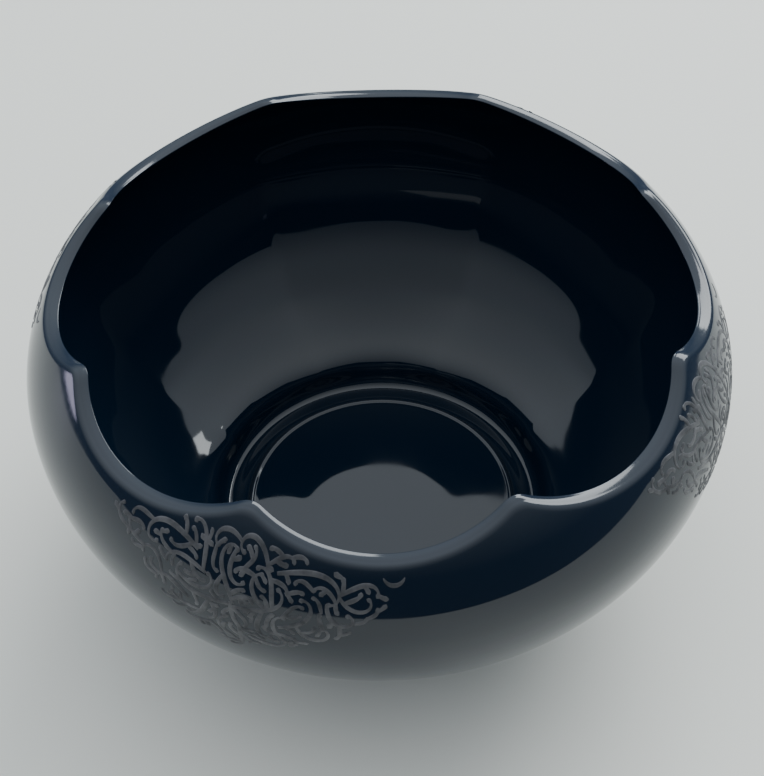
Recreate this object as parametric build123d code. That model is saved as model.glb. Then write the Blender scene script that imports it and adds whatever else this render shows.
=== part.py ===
from build123d import *
import os
from math import cos, radians, sin, sqrt, tan

# Scalloped bowl pressed in black glass, with a closing-in mouth and applied metal scrollwork.
# Millimetres, +Z up, origin at the centre of the foot's underside, front towards -Y.

# ---- driving dimensions ----
BELLY_R = 75.0          # outside radius at the widest point
BELLY_Z = 57.0          # height of the widest point above the table
SHOULDER_H = 45.0       # height semi-axis of the outside above the belly
WALL = 3.8              # wall thickness at the belly
BORE_R = BELLY_R - WALL
BORE_H = 46.0           # height semi-axis of the inside above the belly

LOBES = 8               # scallops round the mouth
LOBE_ANGLE = 360 / LOBES
LOBE_SHIFT = 11.0       # how far each inside panel's axis lies beyond the bowl's axis
RIM_LOW = 17.4          # height of the rim above the belly, at the middle of a scallop
SCALLOP_RISE = 6.0      # how far a scallop's curve would rise to a sharp point
POINT_ROUND = 0.12      # share of a half scallop taken by the rounding of the point
RIM_STEPS = 16          # curve points in each scallop
BLANK_TOP = 29.0        # height above the belly before the scallops are cut
CUT_IN_R = 54.0         # the scalloped cut runs from here, inside the wall,
CUT_OUT_R = 78.0        # to here, outside it

FLOOR_Z = BELLY_Z - 50.2    # edge of the floor disc
FLOOR_R = 30.9              # radius of the floor disc
FLOOR_DOME = 0.4            # how far the disc's middle stands above its edge
RING_Z = BELLY_Z - 50.8     # flat ring round the disc
RING_R = 36.9
LIP = 0.6                   # width of the disc's rounded edge
BASE_DEPTH = 1.0            # how far the disc is rooted in the base

FOOT_R = 39.0           # outside radius of the foot's underside
FOOT_NECK_R = 41.0      # where the foot meets the bowl
FOOT_NECK_Z = BELLY_Z - 50.2
FOOT_WAIST = 2.2        # height of the narrowing under the neck
FOOT_IN_R = 33.5
FOOT_RECESS = 3.4       # depth of the hollow inside the foot
FOOT_BEVEL = 0.8

FILM = 0.15             # thickness of the applied metal
STROKE = 1.2            # width of its scrolls

# Points of the profile below the belly, as radius and height over the belly's plane.
OUTSIDE_LOWER = [(BELLY_R, 0), (71.0, -17.2), (61.2, -31.4), (49.9, -42.9), (FOOT_NECK_R, -50.2)]
INSIDE_LOWER = [
    (BORE_R, 0), (70.1, -10.0), (67.2, -17.8), (63.3, -24.6), (59.2, -29.6), (54.9, -34.1),
    (50.2, -38.2), (44.4, -42.1), (39.2, -46.0), (37.3, -50.3),
]

# The applied scrolls. Each is an arc: middle to the right of the patch's centre line, middle above
# the belly, radius, start angle, swept angle.
ISLANDS = {
    "left_curls": [
        (-25.9, 13.2, 2.7, 170, 240),
        (-20.9, 13.9, 2.6, -60, 290),
        (-17.6, 10.6, 3.1, 190, 310),
        (-15.6, 15.2, 2.5, -150, 280),
        (-15.4, 6.1, 2.6, 20, 200),
    ],
    "medallion": [
        (-7.6, 13.8, 3.3, -140, 290),
        (-0.6, 14.7, 3.0, 150, 290),
        (5.8, 13.6, 2.9, -60, 290),
        (-5.4, 7.2, 3.9, 70, 300),
        (3.0, 7.6, 3.8, -110, 300),
        (-1.6, 0.4, 3.4, 60, 305),
        (4.9, -0.2, 2.6, -200, 290),
        (-8.6, 1.6, 2.4, 30, 280),
        (-1.4, -5.2, 1.9, 60, 260),
    ],
    "right_curls": [
        (13.5, 14.3, 2.9, -170, 300),
        (19.5, 13.2, 2.8, -40, 280),
        (24.7, 10.9, 2.5, -215, 300),
        (15.1, 8.6, 3.2, 50, 300),
        (20.9, 6.2, 2.4, -210, 290),
        (13.9, 3.4, 2.2, 60, 270),
    ],
    "crescent": [(31.2, 16.0, 2.2, 215, 110)],
}
# The four patches round the bowl, by the angle of each one's centre line from the front.
PATCHES = {"front": -22.5, "right": 67.5, "back": 157.5, "left": -112.5}


def raised(points):
    """Profile points on the XZ plane, at their height above the table."""
    return [(r, 0, BELLY_Z + z) for r, z in points]


def arch(radius, height, beyond=0):
    """Part of an ellipse from the belly up to the top of the blank, moved outwards by a distance."""
    steps = [BLANK_TOP * i / 6 for i in range(7)]
    points = raised([(beyond + radius * sqrt(1 - (z / height) ** 2), z) for z in steps])
    end = Vector(-BLANK_TOP * radius / height**2, 0, sqrt(1 - (BLANK_TOP / height) ** 2))
    return Spline(*points, tangents=[Vector(0, 0, 1), end])


def flank(points):
    """Smooth curve through profile points that leaves the belly straight down."""
    slope = Vector(points[-1][0] - points[-2][0], 0, points[-1][1] - points[-2][1])
    return Spline(*raised(points), tangents=[Vector(0, 0, -1), slope])


def blank():
    """The bowl's outside, solid, with its foot."""
    upper = arch(BELLY_R, SHOULDER_H)
    foot = Polyline(
        (FOOT_NECK_R, 0, FOOT_NECK_Z),
        (FOOT_R + 1, 0, FOOT_NECK_Z - FOOT_WAIST),
        (FOOT_R, 0, FOOT_BEVEL),
        (FOOT_R - FOOT_BEVEL, 0, 0),
        (FOOT_IN_R + FOOT_BEVEL, 0, 0),
        (FOOT_IN_R, 0, FOOT_BEVEL),
        (FOOT_IN_R - 1, 0, FOOT_RECESS),
        (0, 0, FOOT_RECESS),
        (0, 0, BELLY_Z + BLANK_TOP),
        tuple(upper @ 1),
    )
    return revolve(make_face([upper, flank(OUTSIDE_LOWER), foot]), Axis.Z)


def lobe_blank():
    """The inside of one panel, turned about the panel's own axis."""
    upper = arch(BORE_R, BORE_H, LOBE_SHIFT)
    wall = flank([(r + LOBE_SHIFT, z) for r, z in INSIDE_LOWER])
    bottom = wall @ 1
    close = Polyline(
        tuple(bottom), (0, 0, bottom.Z), (0, 0, BELLY_Z + BLANK_TOP), tuple(upper @ 1)
    )
    return revolve(make_face([upper, wall, close]), Axis.Z)


def lobed_cavity():
    """Eight panels, flatter than round, that meet in faint upright creases under the rim's points."""
    reach = 2 * BELLY_R
    spread = reach * tan(radians(LOBE_ANGLE / 2))
    sector = Polyline((0, 0), (spread, -reach), (-spread, -reach), (0, 0))
    wedge = extrude(make_face(sector), amount=reach)
    lobe = Pos(0, LOBE_SHIFT, 0) * lobe_blank() & wedge
    cavity = lobe
    for i in range(1, LOBES):
        cavity += Rot(0, 0, i * LOBE_ANGLE) * lobe
    return cavity


def ring_cavity():
    """The flat round bottom that the floor disc stands on."""
    depth = BELLY_Z - RING_Z
    return Pos(0, 0, BELLY_Z - depth / 2) * Cylinder(RING_R, depth)


def floor_disc():
    """The slightly domed floor disc with its rounded edge."""
    edge = (FLOOR_R - LIP, 0, FLOOR_Z)
    slope = Vector(FLOOR_R, 0, -2 * FLOOR_DOME)
    dome = Spline((0, 0, FLOOR_Z + FLOOR_DOME), edge, tangents=[Vector(1, 0, 0), slope])
    lip = Line(edge, (FLOOR_R, 0, RING_Z))
    bottom = RING_Z - BASE_DEPTH
    close = Polyline((FLOOR_R, 0, RING_Z), (FLOOR_R, 0, bottom), (0, 0, bottom), tuple(dome @ 0))
    return revolve(make_face([dome, lip, close]), Axis.Z)


def rim_height(angle):
    """Height of the rim above the belly: parabolas that meet in rounded points."""
    from_point = 1 - abs((angle / LOBE_ANGLE + 0.5) % 1 - 0.5) * 2
    if from_point > POINT_ROUND:
        rise = (1 - from_point) ** 2
    else:
        rise = (1 - POINT_ROUND) * (1 - from_point**2 / POINT_ROUND)
    return RIM_LOW + SCALLOP_RISE * rise


def rim_curve(radius):
    """Closed curve at this radius on the rim's level top face, continued past the wall."""
    points = []
    for i in range(LOBES * RIM_STEPS):
        angle = i * LOBE_ANGLE / RIM_STEPS
        turn = radians(angle)
        points.append((radius * sin(turn), -radius * cos(turn), BELLY_Z + rim_height(angle)))
    return Spline(*points, periodic=True)


def rim_cutter():
    """Everything above the rim's scalloped top face."""
    surface = Face.make_surface_from_curves(rim_curve(CUT_IN_R), rim_curve(CUT_OUT_R))
    return extrude(surface, amount=BELLY_R, dir=(0, 0, 1))


def bowl_body():
    """The pressed bowl with its foot, in one piece."""
    bowl = blank() - ring_cavity() - lobed_cavity() - rim_cutter()
    return bowl + floor_disc()


def film_shell():
    """A skin of the applied metal's thickness all round the outside."""
    inner_top = arch(BELLY_R, SHOULDER_H)
    outer_top = arch(BELLY_R + FILM, SHOULDER_H + FILM)
    inner_low = flank(OUTSIDE_LOWER)
    outer_low = flank([(r + FILM, z) for r, z in OUTSIDE_LOWER])
    top = Line(inner_top @ 1, outer_top @ 1)
    bottom = Line(inner_low @ 1, outer_low @ 1)
    section = make_face([inner_top, top, outer_top, outer_low, bottom, inner_low])
    return revolve(section, Axis.Z)


def island(arcs, shell):
    """One metal island at the front of the bowl: scrolls drawn as slots on the skin."""
    outline = Sketch()
    for right, up, radius, start, sweep in arcs:
        arc = CenterArc((right, BELLY_Z + up), radius, start, sweep)
        outline += SlotArc(arc, STROKE)
    prism = extrude(Plane.XZ * outline, amount=BELLY_R + 1)
    return prism & shell


os.makedirs("parts", exist_ok=True)
export_step(bowl_body(), "parts/bowl_body.step")
skin = film_shell()
for island_name, island_arcs in ISLANDS.items():
    metal = island(island_arcs, skin)
    for side, turn_angle in PATCHES.items():
        turned = Rot(0, 0, turn_angle) * metal
        export_step(turned, f"parts/overlay_{side}_{island_name}.step")
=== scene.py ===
import bpy
import math
import random
import numpy as np
from mathutils import Matrix, Vector


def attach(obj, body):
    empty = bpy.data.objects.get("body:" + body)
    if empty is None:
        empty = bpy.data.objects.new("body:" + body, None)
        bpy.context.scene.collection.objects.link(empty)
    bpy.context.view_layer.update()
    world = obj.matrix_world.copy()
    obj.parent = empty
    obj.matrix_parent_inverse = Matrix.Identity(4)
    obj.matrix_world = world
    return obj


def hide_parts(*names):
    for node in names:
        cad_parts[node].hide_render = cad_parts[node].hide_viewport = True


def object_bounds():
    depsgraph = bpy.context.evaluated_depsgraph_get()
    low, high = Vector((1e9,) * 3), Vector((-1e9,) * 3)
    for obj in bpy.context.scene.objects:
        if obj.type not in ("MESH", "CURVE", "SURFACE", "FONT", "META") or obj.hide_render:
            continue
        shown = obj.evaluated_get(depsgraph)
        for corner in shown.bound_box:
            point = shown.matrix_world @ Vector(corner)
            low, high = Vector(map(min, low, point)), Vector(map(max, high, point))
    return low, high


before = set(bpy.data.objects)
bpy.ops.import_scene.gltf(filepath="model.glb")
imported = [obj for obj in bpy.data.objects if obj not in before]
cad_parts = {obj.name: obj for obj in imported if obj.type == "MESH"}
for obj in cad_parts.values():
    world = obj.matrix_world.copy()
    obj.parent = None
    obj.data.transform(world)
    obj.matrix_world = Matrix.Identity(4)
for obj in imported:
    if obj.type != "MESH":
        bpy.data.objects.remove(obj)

cad_lo, cad_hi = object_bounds()

# The bowl and its scrollwork are worked out in millimetres, with heights measured from the belly,
# which is the bowl's widest level.
MM = 0.001
BELLY_Z = 57.0                      # the belly's height above the table

# ------------------------------------------------------------------ bowl: dimensions
OUT_R, OUT_H = round(cad_hi[0] / MM, 3), 45.0   # half axes of the outside ellipse above the belly
IN_R, IN_H = 71.2, 46.0             # the same for the inside
LOBES = 8                           # scallops of the rim, and panels of the wall inside
COLS = LOBES * 72                   # columns of points round the bowl
RIM_LOW, RIM_RISE = 17.4, 5.8       # middle of a scallop, and the rise of its sides to a point
POINT_ROUND = 0.09                  # rounded part of a rim point, in half scallops
REACH_IN, DROP_IN = 0.5, 0.47       # rounding of the rim's inner edge, across and down
REACH_OUT, DROP_OUT = 0.9, 0.81     # the same for its outer edge
RIM_CROWN = 0.1                     # how far the rim's top face bulges
CREASE_ROUND = 0.06                 # rounded part of a crease, in half panels
CREASE_DEPTH = 0.02                 # as a part of the wall's radius
CREASE_START = (-42.0, -34.0)       # the heights that the creases grow deep between
CREASE_END = (-10.0, 16.0)          # the heights that they fade out between
RIDGE_Z, RIDGE_SPREAD = -45.0, 3.0  # low ridges between the panels, just above the floor
CENTRE_R = 0.3                      # smallest row of points round the axis
DISC_R, DISC_Z = 30.0, -50.2        # raised disc of the floor, up to the bead on its edge
DISC_DOME, DOME_R = 0.4, 30.9       # rise of the disc's middle, and the radius that it falls to 0 at
RING_Z = -50.8                      # flat ring round the disc
FOOT_Z = -BELLY_Z
HOLLOW_R, HOLLOW_Z = 29.5, -53.6    # flat middle of the underside

# Directions in the bowl's section, as (outwards, up).
OUT, IN, UP, DOWN = (1, 0), (-1, 0), (0, 1), (0, -1)
WALL_START, NECK_START, HOLLOW_START = (0.75, 1.1), (-1, -0.8), (-0.2, 1)


def clamped_spline(points, start, end, count):
    """Points on the smooth curve through these ones, with given end directions."""
    p = np.array(points, float)
    d = np.hypot(*np.diff(p, axis=0).T)
    t = np.concatenate([[0], np.cumsum(d)])
    k = len(p)
    m = np.zeros((k, k))
    b = np.zeros((k, 2))
    m[0, 0] = m[-1, -1] = 1
    b[0] = np.array(start, float) / np.hypot(*start)
    b[-1] = np.array(end, float) / np.hypot(*end)
    for i in range(1, k - 1):
        m[i, i - 1] = d[i]
        m[i, i] = 2 * (d[i - 1] + d[i])
        m[i, i + 1] = d[i - 1]
        b[i] = 3 * (d[i] * (p[i] - p[i - 1]) / d[i - 1] + d[i - 1] * (p[i + 1] - p[i]) / d[i])
    g = np.linalg.solve(m, b)
    out = []
    for s in np.linspace(0, t[-1], count):
        i = min(int(np.searchsorted(t, s, side="right")) - 1, k - 2)
        h = d[i]
        x = (s - t[i]) / h
        out.append(
            (2 * x**3 - 3 * x**2 + 1) * p[i]
            + (x**3 - 2 * x**2 + x) * h * g[i]
            + (3 * x**2 - 2 * x**3) * p[i + 1]
            + (x**3 - x**2) * h * g[i + 1]
        )
    return np.array(out)


# The section's outlines, as (radius, height), in the order that the surface runs.
BEAD = clamped_spline(
    [(DISC_R, -50.18), (30.45, -50.0), (30.9, -49.92), (31.3, -50.2), (32.0, RING_Z)], OUT, OUT, 26
)
CORNER = clamped_spline([(32.0, RING_Z), (36.85, RING_Z), (37.3, -50.3)], OUT, WALL_START, 24)
WALL = clamped_spline(
    [
        (37.3, -50.3), (39.2, -46.0), (44.4, -42.1), (50.2, -38.2), (54.9, -34.1), (59.2, -29.6),
        (63.3, -24.6), (67.2, -17.8), (70.1, -10.0), (IN_R, 0),
    ],
    WALL_START, UP, 110,
)
FLANK = clamped_spline(
    [(OUT_R, 0), (71.0, -17.2), (61.2, -31.4), (49.9, -42.9), (41.0, -50.2)], DOWN, NECK_START, 60
)
NECK = clamped_spline([(41.0, -50.2), (39.9, -52.3), (39.2, -55.8)], NECK_START, DOWN, 12)
FOOT_OUTSIDE = clamped_spline([(39.2, -55.8), (38.3, -56.9), (37.2, FOOT_Z)], DOWN, IN, 8)
FOOT_FACE = np.array([(36.2, FOOT_Z), (35.2, FOOT_Z)])
FOOT_INSIDE = clamped_spline([(35.2, FOOT_Z), (34.2, -56.8), (33.4, -55.6)], IN, HOLLOW_START, 8)
HOLLOW = clamped_spline(
    [(33.4, -55.6), (32.3, -54.2), (HOLLOW_R, HOLLOW_Z)], HOLLOW_START, IN, 10
)


# ------------------------------------------------------------------ bowl: surface
def meeting(t, rounding):
    """t squared on either side of a meeting line at t = 1, with the meeting rounded over."""
    q = 1 - t
    return np.where(q > rounding, t**2, (1 - rounding) * (1 - q**2 / rounding))


def soft_step(z, span):
    """Rises from 0 to 1 over this span of heights, with level ends."""
    low, high = span
    x = np.clip((z - low) / (high - low), 0, 1)
    return x * x * (3 - 2 * x)


def rounded(start, corner, end, x):
    """A value part of the way along the curve that rounds a corner."""
    u = 1 - x
    return u * u * start + 2 * u * x * corner + x * x * end


# One value for each column: its angle, how far it is from the middle of its scallop (1 at a point),
# the rim's height, and how deep in a crease it is.
THETA = np.arange(COLS) * 2 * math.pi / COLS
FROM_MIDDLE = np.abs((THETA * LOBES / (2 * math.pi) + 0.5) % 1 - 0.5) * 2
RIM = RIM_LOW + RIM_RISE * meeting(FROM_MIDDLE, POINT_ROUND)
CREASE = meeting(FROM_MIDDLE, CREASE_ROUND)


def crease_depth(z):
    """How far the creases reach back at this height, as a part of the radius. They fade out towards
    the rim and the floor, and just above the floor the panels meet in low ridges instead."""
    z = np.asarray(z, float)
    crease = CREASE_DEPTH * soft_step(z, CREASE_START) * (1 - soft_step(z, CREASE_END))
    ridge = CREASE_DEPTH * np.exp(-(((z - RIDGE_Z) / RIDGE_SPREAD) ** 2))
    return crease - ridge


def inside_r(z):
    """The wall's radius above the belly, in every column."""
    return IN_R * np.sqrt(1 - (z / IN_H) ** 2) * (1 + crease_depth(z) * CREASE)


def outside_r(z):
    """The outside radius above the belly."""
    return OUT_R * np.sqrt(1 - (z / OUT_H) ** 2)


def flank_r(z):
    """The outside radius at any height from the foot's neck up to the rim."""
    z = np.asarray(z, float)
    low = np.interp(z, FLANK[::-1, 1], FLANK[::-1, 0])
    return np.where(z < 0, low, outside_r(np.maximum(z, 0)))


def row(r, z):
    """Points round the bowl at this radius and height, which may differ from column to column."""
    level = (z + BELLY_Z) * np.ones(COLS)
    return np.stack([r * np.sin(THETA), -r * np.cos(THETA), level], -1)


def floor_and_wall_rows():
    """From the middle of the floor out and up to the belly."""
    rows = []
    for r in np.linspace(CENTRE_R, DISC_R, 34):
        rows.append(row(r, DISC_Z + DISC_DOME * (1 - (r / DOME_R) ** 2)))
    for r, z in np.concatenate([BEAD[1:], CORNER[1:], WALL[1:]]):
        rows.append(row(r * (1 + crease_depth(z) * CREASE), z))
    return rows


def rim_rows():
    """From the belly up inside, over the rim's two rounded edges, and down outside to the belly."""
    inner_z, outer_z = RIM - DROP_IN, RIM - DROP_OUT
    inner_edge, outer_edge = inside_r(RIM), outside_r(RIM)
    top_start, top_end = inner_edge + REACH_IN, outer_edge - REACH_OUT
    rows = [row(inside_r(inner_z * x), inner_z * x) for x in np.linspace(0, 1, 36)[1:]]
    for x in np.linspace(0, 1, 9)[1:]:
        r = rounded(inside_r(inner_z), inner_edge, top_start, x)
        rows.append(row(r, rounded(inner_z, RIM, RIM, x)))
    for x in np.linspace(0, 1, 9)[1:-1]:
        rows.append(row(top_start + (top_end - top_start) * x, RIM + RIM_CROWN * math.sin(math.pi * x)))
    for x in np.linspace(0, 1, 13):
        r = rounded(top_end, outer_edge, outside_r(outer_z), x)
        rows.append(row(r, rounded(RIM, RIM, outer_z, x)))
    for x in np.linspace(1, 0, 34)[1:]:
        rows.append(row(outside_r(outer_z * x), outer_z * x))
    return rows


def foot_rows():
    """From the belly down the outside, round the foot, and in to the middle of the underside."""
    outline = np.concatenate([FLANK[1:], NECK[1:], FOOT_OUTSIDE[1:], FOOT_FACE, FOOT_INSIDE[1:], HOLLOW[1:]])
    rows = [row(r, z) for r, z in outline]
    rows += [row(r, HOLLOW_Z) for r in np.linspace(HOLLOW_R, CENTRE_R, 14)[1:]]
    return rows


def mesh_object(name, verts, faces, material, smooth=True):
    mesh = bpy.data.meshes.new(name)
    mesh.from_pydata([tuple(v) for v in verts], [], faces)
    mesh.validate()
    if smooth:
        mesh.polygons.foreach_set("use_smooth", [True] * len(mesh.polygons))
    mesh.materials.append(material)
    mesh.update()
    obj = bpy.data.objects.new(name, mesh)
    bpy.context.collection.objects.link(obj)
    return obj


def closed_rows(name, rows, material):
    """Mesh of rows of points round the axis, with a point in the middle of the first and last."""
    count, cols = rows.shape[:2]
    verts = np.concatenate([rows.reshape(-1, 3), rows[:1].mean(1), rows[-1:].mean(1)]) * MM
    faces = []
    for i in range(count - 1):
        for j in range(cols):
            k = (j + 1) % cols
            faces.append((i * cols + j, i * cols + k, (i + 1) * cols + k, (i + 1) * cols + j))
    first, last = count * cols, count * cols + 1
    for j in range(cols):
        k = (j + 1) % cols
        faces.append((first, k, j))
        faces.append((last, (count - 1) * cols + j, (count - 1) * cols + k))
    return mesh_object(name, verts, faces, material)


# ------------------------------------------------------------------ materials
def set_inputs(tree, node, inputs):
    """Gives a node's inputs a value, or links them to the output of another node."""
    for name, value in inputs.items():
        if isinstance(value, bpy.types.NodeSocket):
            tree.links.new(value, node.inputs[name])
        else:
            node.inputs[name].default_value = value


def add_node(tree, kind, inputs):
    node = tree.nodes.new(kind)
    set_inputs(tree, node, inputs)
    return node


def principled(name, inputs):
    """A new material, its node tree and its shader, with these inputs of the shader set."""
    material = bpy.data.materials.new(name)
    material.use_nodes = True
    tree = material.node_tree
    shader = tree.nodes["Principled BSDF"]
    set_inputs(tree, shader, inputs)
    return material, tree, shader


def noise(tree, where, scale, detail, roughness=0.5):
    inputs = {"Vector": where, "Scale": scale, "Detail": detail, "Roughness": roughness}
    return add_node(tree, "ShaderNodeTexNoise", inputs).outputs["Fac"]


def remapped(tree, value, span, result):
    """Maps this span of values, as (low, high), onto the result's."""
    names = ("From Min", "From Max", "To Min", "To Max")
    inputs = {"Value": value, **dict(zip(names, (*span, *result)))}
    return add_node(tree, "ShaderNodeMapRange", inputs).outputs["Result"]


def bumped(tree, height, strength, distance):
    inputs = {"Strength": strength, "Distance": distance, "Height": height}
    return add_node(tree, "ShaderNodeBump", inputs).outputs["Normal"]


WORN_HEIGHTS = (0.0725, 0.0745)     # the rim's wear sets in between these heights, in metres
WEAR = 0.12                         # roughness that it adds


def black_glass():
    """Glossy black with a blue depth, smudged here and there, finely worn along the rim."""
    material, tree, shader = principled(
        "black_glass", {"Base Color": (0.0032, 0.0105, 0.0225, 1), "IOR": 1.5}
    )
    where = tree.nodes.new("ShaderNodeTexCoord").outputs["Object"]
    smudges = remapped(tree, noise(tree, where, scale=55, detail=5), (0.45, 0.8), (0.03, 0.11))
    height = add_node(tree, "ShaderNodeSeparateXYZ", {"Vector": where}).outputs["Z"]
    near_rim = remapped(tree, height, WORN_HEIGHTS, (0, 1))
    worn = tree.nodes.new("ShaderNodeMath")
    worn.operation = "MULTIPLY"
    set_inputs(tree, worn, {0: near_rim, 1: noise(tree, where, scale=900, detail=4)})
    roughness = tree.nodes.new("ShaderNodeMath")
    roughness.operation = "MULTIPLY_ADD"
    set_inputs(tree, roughness, {0: worn.outputs["Value"], 1: WEAR, 2: smudges})
    normal = bumped(tree, noise(tree, where, scale=30, detail=1.5), strength=0.35, distance=0.0006)
    set_inputs(tree, shader, {"Roughness": roughness.outputs["Value"], "Normal": normal})
    return material


def tarnished_metal():
    """Dull grey in clouds, rougher where it is darker, with a fine grain."""
    material, tree, shader = principled("tarnished_metal", {"Metallic": 0.35})
    where = tree.nodes.new("ShaderNodeTexCoord").outputs["Object"]
    cloud = noise(tree, where, scale=260, detail=6, roughness=0.65)
    tone = add_node(tree, "ShaderNodeValToRGB", {"Fac": cloud})
    dark, light = tone.color_ramp.elements
    dark.position, dark.color = 0.36, (0.055, 0.056, 0.062, 1)
    light.position, light.color = 0.66, (0.14, 0.139, 0.147, 1)
    set_inputs(tree, shader, {
        "Base Color": tone.outputs["Color"],
        "Roughness": remapped(tree, cloud, (0.35, 0.7), (0.66, 0.42)),
        "Normal": bumped(tree, noise(tree, where, scale=1400, detail=3), strength=0.5, distance=0.0001),
    })
    return material


# ------------------------------------------------------------------ bowl: the piece
surface = np.array(floor_and_wall_rows() + rim_rows() + foot_rows())
body = closed_rows("bowl_body_visual", surface, black_glass())
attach(body, "root")
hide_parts("bowl_body")

# ------------------------------------------------------------------ applied scrollwork
# A patch is drawn flat, in millimetres: right of its middle along the belly, height above the belly.
PATCHES = {"front": -22.5, "right": 67.5, "back": 157.5, "left": -112.5}    # angle of each middle
EDGE = [
    (-30.0, 14.6), (-27.5, 15.6), (-22.0, 16.6), (-17.0, 17.9), (-10.0, 19.3), (0.0, 19.9),
    (8.0, 19.3), (15.0, 18.0), (20.0, 16.6), (23.0, 15.2), (28.0, 14.2), (30.6, 11.6), (27.2, 8.3),
    (21.5, 3.1), (15.0, -0.6), (9.0, -3.4), (3.5, -4.6), (0.0, -8.4), (-4.0, -3.6), (-9.5, -3.2),
    (-14.0, 0.4), (-18.0, 3.4), (-20.2, 7.7), (-24.5, 10.0), (-29.4, 12.2),
]
# Main stems: root, heading in degrees, length, bend and coil in radians per millimetre.
STEMS = [
    (0, 6, 100, 14, 0.02, -0.9), (0, 6, 175, 16, -0.05, -0.9), (0, 6, 5, 15, 0.05, 0.9),
    (0, 6, -95, 13, 0.03, 0.8), (-9, 14, 160, 17, 0.03, 0.9), (9, 14, 10, 17, -0.06, -0.9),
    (-9, 4, 150, 12, 0.05, 1.0), (10, 3, 20, 14, 0.04, 0.9), (-4, -1, 200, 8, -0.1, -0.8),
    (4, -1, -20, 9, 0.1, 0.8), (-16, 15, 200, 11, 0.1, 1.0), (17, 11, -20, 11, 0.02, 0.9),
]
STEM_WIDTH, STEM_TRIES = 0.58, 60
# Rounds of branches, from large to small: length, coil, half width and the number of tries.
BRANCHES = [
    (11, 1.0, 0.55, 1200), (8, 1.15, 0.54, 2000), (6, 1.3, 0.53, 3000), (4.4, 1.4, 0.52, 4500),
    (3.2, 1.2, 0.5, 5500), (2.3, 0.8, 0.48, 6500),
]
BRANCH_JOIN = 7                     # points at a branch's root that may touch its parent
STEM_JOIN, JOINED_STEMS = 10, 5     # the same for a stem, and how many of the first stems may touch
SELF_GAP, TURN_POINTS = 0.3, 11     # a stroke's gap to itself, beyond this many points along it
SEARCH = 1.8                        # how far round a stroke the others are looked for
GAP_MIDDLE, GAP_SIDES = 0.1, 0.24   # gap in the patch's middle, and what is added at its sides
MIDDLE_HALF, GAP_SPREAD = 8.0, 6.0  # half the middle's width, and how far the gap then grows
LEFT_END, RIGHT_START = -11.8, 9.4  # where the medallion meets the curls beside it
STEP = 0.22                         # distance between a stroke's points
HIGH = 0.1                          # how far the metal stands off the bowl
LEAN = 50.0                         # it stands off upwards too, by the height above the belly over this
# A strip's section, as (part of the half width, part of the height).
SECTION = [(-1.0, -0.05), (-0.93, 0.5), (-0.62, 0.88), (0, 1.0), (0.62, 0.88), (0.93, 0.5), (1.0, -0.05)]


def scroll(u, v, heading, length, bend, coil, width):
    """A stroke from its root to a tight curl with a ball at the end: its points and half widths."""
    count = max(5, round(length / STEP))
    s = np.arange(count + 1) / count
    turn = heading + np.concatenate([[0], np.cumsum((bend + coil * s[1:] ** 3) * length / count)])
    across = np.concatenate([[0], np.cumsum(np.cos(turn[1:]))]) * length / count
    up = np.concatenate([[0], np.cumsum(np.sin(turn[1:]))]) * length / count
    # the width swells along the stroke, with a ball near the end and a round tip
    swell = 0.72 + 0.4 * np.sin(math.pi * np.minimum(1, s * 1.15)) - 0.25 * s
    left = (1 - s) * length
    ball = 0.55 * np.exp(-(((left - 0.5) / 0.42) ** 2))
    end = np.sqrt(np.clip(1 - (1 - np.minimum(left / 0.5, 1)) ** 2, 0.02, 1))
    return np.stack([u + across, v + up], -1), 0.9 * width * (swell + ball) * end


def within(points, outline):
    """Which points are inside the outline."""
    inside = np.zeros(len(points), bool)
    x, y = points[:, 0], points[:, 1]
    for (x0, y0), (x1, y1) in zip(outline, outline[1:] + outline[:1]):
        if y0 != y1:
            inside ^= ((y0 > y) != (y1 > y)) & (x < (x1 - x0) * (y - y0) / (y1 - y0) + x0)
    return inside


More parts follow.
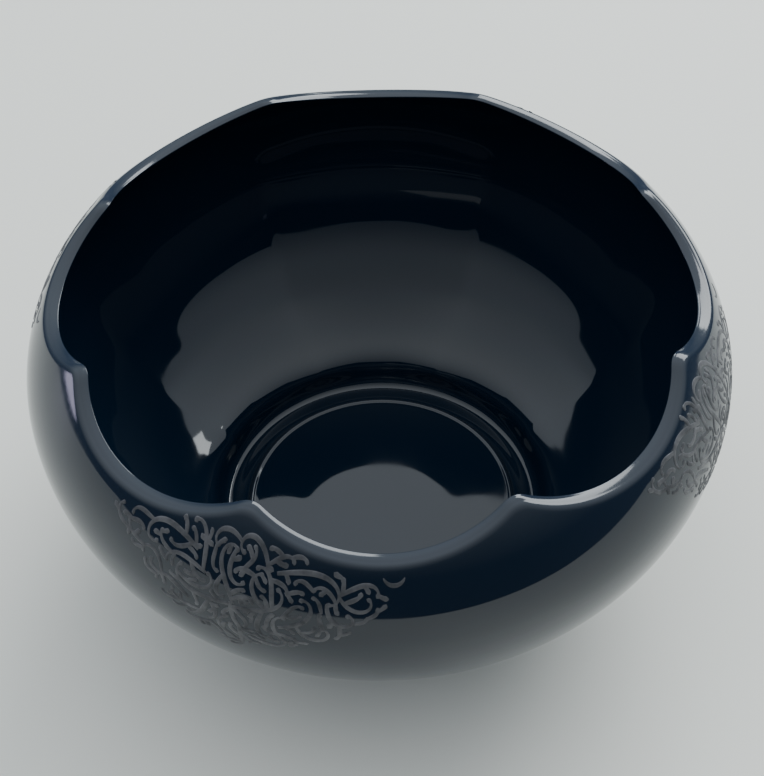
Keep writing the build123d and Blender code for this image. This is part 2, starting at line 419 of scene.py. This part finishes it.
class Scrollwork:
    """Strokes that fill the patch: each springs from an earlier one, then keeps clear of the others."""

    def __init__(self, seed):
        self.rng = random.Random(seed)
        self.strokes = []
        self.taken = np.zeros((0, 3))       # every point kept so far, with the half width there
        self.headings = np.zeros(0)         # the stroke's direction at each of them
        for stem in STEMS:
            self.add_stem(*stem)
        for branches in BRANCHES:
            self.add_branches(*branches)

    def clear_of_itself(self, points, widths):
        count = len(points)
        if count <= TURN_POINTS + 1:
            return True
        gaps = np.hypot(*(points[:, None] - points[None]).transpose(2, 0, 1))
        gaps = gaps - widths[:, None] - widths[None]
        apart = np.abs(np.arange(count)[:, None] - np.arange(count)[None]) > TURN_POINTS
        return not (gaps[apart] < SELF_GAP).any()

    def clear_of_others(self, points, widths, joined):
        """Whether the stroke keeps its distance, after the first points that join it to another.
        Strokes may lie closer together in the patch's middle than out on its sides."""
        lo, hi = points.min(0) - SEARCH, points.max(0) + SEARCH
        near = self.taken[((self.taken[:, :2] > lo) & (self.taken[:, :2] < hi)).all(1)]
        free = points[joined:, None]
        distance = np.hypot(free[:, :, 0] - near[None, :, 0], free[:, :, 1] - near[None, :, 1])
        past_middle = (abs(points[:, 0].mean()) - MIDDLE_HALF) / GAP_SPREAD
        gap = GAP_MIDDLE + GAP_SIDES * min(1.0, max(0.0, past_middle))
        return (distance - near[None, :, 2] - widths[joined:, None] > gap).all()

    def keep_if_it_fits(self, points, widths, joined):
        fits = (
            within(points, EDGE).all()
            and self.clear_of_itself(points, widths)
            and self.clear_of_others(points, widths, joined)
        )
        if fits:
            self.strokes.append((points, widths))
            self.taken = np.concatenate([self.taken, np.column_stack([points, widths])])
            step = np.gradient(points, axis=0)
            self.headings = np.concatenate([self.headings, np.arctan2(step[:, 1], step[:, 0])])
        return fits

    def add_stem(self, u, v, heading, length, bend, coil):
        vary = self.rng.uniform
        for _ in range(STEM_TRIES):
            points, widths = scroll(
                u + vary(-0.8, 0.8), v + vary(-0.8, 0.8), math.radians(heading + vary(-14, 14)),
                length * vary(0.8, 1.05), bend + vary(-0.04, 0.04), coil * vary(0.7, 1.2), STEM_WIDTH,
            )
            joined = STEM_JOIN if len(self.strokes) < JOINED_STEMS else 0
            if self.keep_if_it_fits(points, widths, joined):
                break

    def add_branches(self, length, coil, width, tries):
        vary, choose = self.rng.uniform, self.rng.choice
        for _ in range(tries):
            root = self.rng.randrange(len(self.taken))
            heading = self.headings[root] + choose((-1, 1)) * vary(0.35, 1.25)
            turn = choose((-1, 1))
            points, widths = scroll(
                self.taken[root, 0], self.taken[root, 1], heading + choose((0, 0, math.pi)),
                length * vary(0.8, 1.2), turn * vary(-0.05, 0.22), turn * coil * vary(0.7, 1.2),
                width * vary(0.88, 1.12),
            )
            self.keep_if_it_fits(points, widths, BRANCH_JOIN)


def leaf(u, v, radius, start, sweep, width):
    """A small pointed leaf bent along an arc, given by its middle and its angles in degrees."""
    s = np.linspace(0, 1, 26)
    turn = np.radians(start + sweep * s)
    points = np.stack([u + radius * np.cos(turn), v + radius * np.sin(turn)], -1)
    return points, width * (0.12 + 0.88 * np.sin(math.pi * s) ** 0.6)


def on_bowl(u, v, lift, middle):
    """A point of the flat drawing laid on the outside, in metres, standing off it by the lift."""
    r = float(flank_r(v)) + lift
    angle = math.radians(middle) + u / OUT_R
    rise = lift * v / LEAN
    return r * math.sin(angle) * MM, -r * math.cos(angle) * MM, (v + rise + BELLY_Z) * MM


def strips(name, strokes, middle, material):
    """Raised closed strips with a rounded section, laid on the bowl's outside round this angle."""
    verts, faces = [], []
    wide = len(SECTION)
    for points, widths in strokes:
        step = np.gradient(points, axis=0)
        step /= np.hypot(*step.T)[:, None]
        normals = np.stack([-step[:, 1], step[:, 0]], -1)
        first, count = len(verts), len(points)
        for (u, v), width, (across, up) in zip(points, widths, normals):
            for aside, height in SECTION:
                lift = HIGH * height * min(1.0, 0.35 + width) if height > 0 else height
                verts.append(on_bowl(u + across * aside * width, v + up * aside * width, lift, middle))
        for i in range(count - 1):
            for j in range(wide):
                p, q = first + i * wide + j, first + i * wide + (j + 1) % wide
                faces.append((p, q, q + wide, p + wide))
        faces.append(tuple(first + j for j in range(wide))[::-1])
        faces.append(tuple(first + (count - 1) * wide + j for j in range(wide)))
    return mesh_object(name, verts, faces, material)


islands = {"left_curls": [], "medallion": [], "right_curls": [], "crescent": []}
for stroke in Scrollwork(seed=5).strokes:
    off_middle = stroke[0][:, 0].mean()
    if off_middle < LEFT_END:
        islands["left_curls"].append(stroke)
    elif off_middle > RIGHT_START:
        islands["right_curls"].append(stroke)
    else:
        islands["medallion"].append(stroke)
islands["crescent"].append(leaf(u=31.2, v=16.6, radius=2.3, start=205, sweep=130, width=0.42))

metal = tarnished_metal()
for side, middle in PATCHES.items():
    for island, strokes in islands.items():
        piece = strips(f"overlay_{side}_{island}_visual", strokes, middle, metal)
        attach(piece, "root")
        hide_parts(f"overlay_{side}_{island}")


# ------------------------------------------------------------------ table, room and light, in metres
# The table ends close in front of the bowl, so that the shoulder there mirrors the darker room.
TABLE_FRONT, TABLE_BACK, TABLE_SIDE = -0.225, 1.2, 0.9
TABLE_TOP = -0.00005                # a hair under the foot
# The room's light at rising heights: place from the level to straight up, colour.
ROOM_TONES = [
    (0.12, (0.10, 0.12, 0.165, 1)), (0.34, (0.30, 0.34, 0.38, 1)),
    (0.6, (0.62, 0.68, 0.73, 1)), (1.0, (0.9, 0.96, 1.0, 1)),
]
ROOM_DEPTH = (-0.8, 0.7), (0.4, 1.12)   # from the front to the back, the light's factor
ROOM_STRENGTH = 1.95


def table_top():
    material = principled("table_top", {"Base Color": (0.845, 0.84, 0.776, 1), "Roughness": 0.55})[0]
    corners = [
        (-TABLE_SIDE, TABLE_FRONT, TABLE_TOP), (TABLE_SIDE, TABLE_FRONT, TABLE_TOP),
        (TABLE_SIDE, TABLE_BACK, TABLE_TOP), (-TABLE_SIDE, TABLE_BACK, TABLE_TOP),
    ]
    mesh_object("table_top", corners, [(0, 1, 2, 3)], material, smooth=False)


def room():
    """Soft light from all round, brighter from above and from behind the bowl."""
    world = bpy.data.worlds.new("room")
    bpy.context.scene.world = world
    world.use_nodes = True
    tree = world.node_tree
    towards = tree.nodes.new("ShaderNodeTexCoord").outputs["Generated"]
    parts = add_node(tree, "ShaderNodeSeparateXYZ", {"Vector": towards})
    tones = add_node(tree, "ShaderNodeValToRGB", {"Fac": parts.outputs["Z"]})
    lowest, *between, highest = ROOM_TONES
    stops = tones.color_ramp.elements
    stops[0].position, stops[0].color = lowest
    stops[1].position, stops[1].color = highest
    for place, colour in between:
        stops.new(place).color = colour
    depth = remapped(tree, parts.outputs["Y"], *ROOM_DEPTH)
    dimmed = tree.nodes.new("ShaderNodeVectorMath")
    dimmed.operation = "SCALE"
    set_inputs(tree, dimmed, {0: tones.outputs["Color"], "Scale": depth})
    light = {"Color": dimmed.outputs["Vector"], "Strength": ROOM_STRENGTH}
    set_inputs(tree, tree.nodes["Background"], light)


def softbox(name, place, look_at, size, watts, colour):
    light = bpy.data.lights.new(name, "AREA")
    light.shape = "RECTANGLE"
    light.size, light.size_y = size
    light.energy = watts
    light.color = colour
    obj = bpy.data.objects.new(name, light)
    obj.location = place
    obj.rotation_mode = "QUATERNION"
    obj.rotation_quaternion = (Vector(look_at) - Vector(place)).to_track_quat("-Z", "Y")
    bpy.context.collection.objects.link(obj)


table_top()
room()
softbox("window", (0.82, 1.42, 1.15), (0, 0, 0.06), (1.5, 0.85), 32, (0.93, 0.98, 1.0))
softbox("side_window", (-1.45, 0.39, 0.26), (0, 0, 0.07), (0.34, 0.44), 2.4, (0.78, 0.74, 1.0))

# ------------------------------------------------------------------ camera, in metres and degrees
CAMERA_UP, CAMERA_ROUND, CAMERA_ROLL = 48.02, -0.5, -0.823
CAMERA_TARGET, CAMERA_DISTANCE = Vector((0.00056, 0, 0.0457)), 0.3644
CAMERA_LENS = 76.55                 # in millimetres


def camera():
    """A camera that looks at its target from the front and above, rolled a little."""
    elevation, azimuth, roll = (math.radians(a) for a in (CAMERA_UP, CAMERA_ROUND, CAMERA_ROLL))
    away = Vector(
        (
            math.sin(azimuth) * math.cos(elevation),
            -math.cos(azimuth) * math.cos(elevation),
            math.sin(elevation),
        )
    )
    right = (-away).cross(Vector((0, 0, 1))).normalized()
    up = right.cross(-away)
    rolled_right = math.cos(roll) * right + math.sin(roll) * up
    rolled_up = -math.sin(roll) * right + math.cos(roll) * up
    data = bpy.data.cameras.new("camera")
    data.lens = CAMERA_LENS
    data.clip_start = 0.01
    obj = bpy.data.objects.new("camera", data)
    bpy.context.collection.objects.link(obj)
    turned = Matrix((rolled_right, rolled_up, away)).transposed().to_4x4()
    obj.matrix_world = Matrix.Translation(CAMERA_TARGET + away * CAMERA_DISTANCE) @ turned
    return obj


bpy.context.scene.camera = camera()
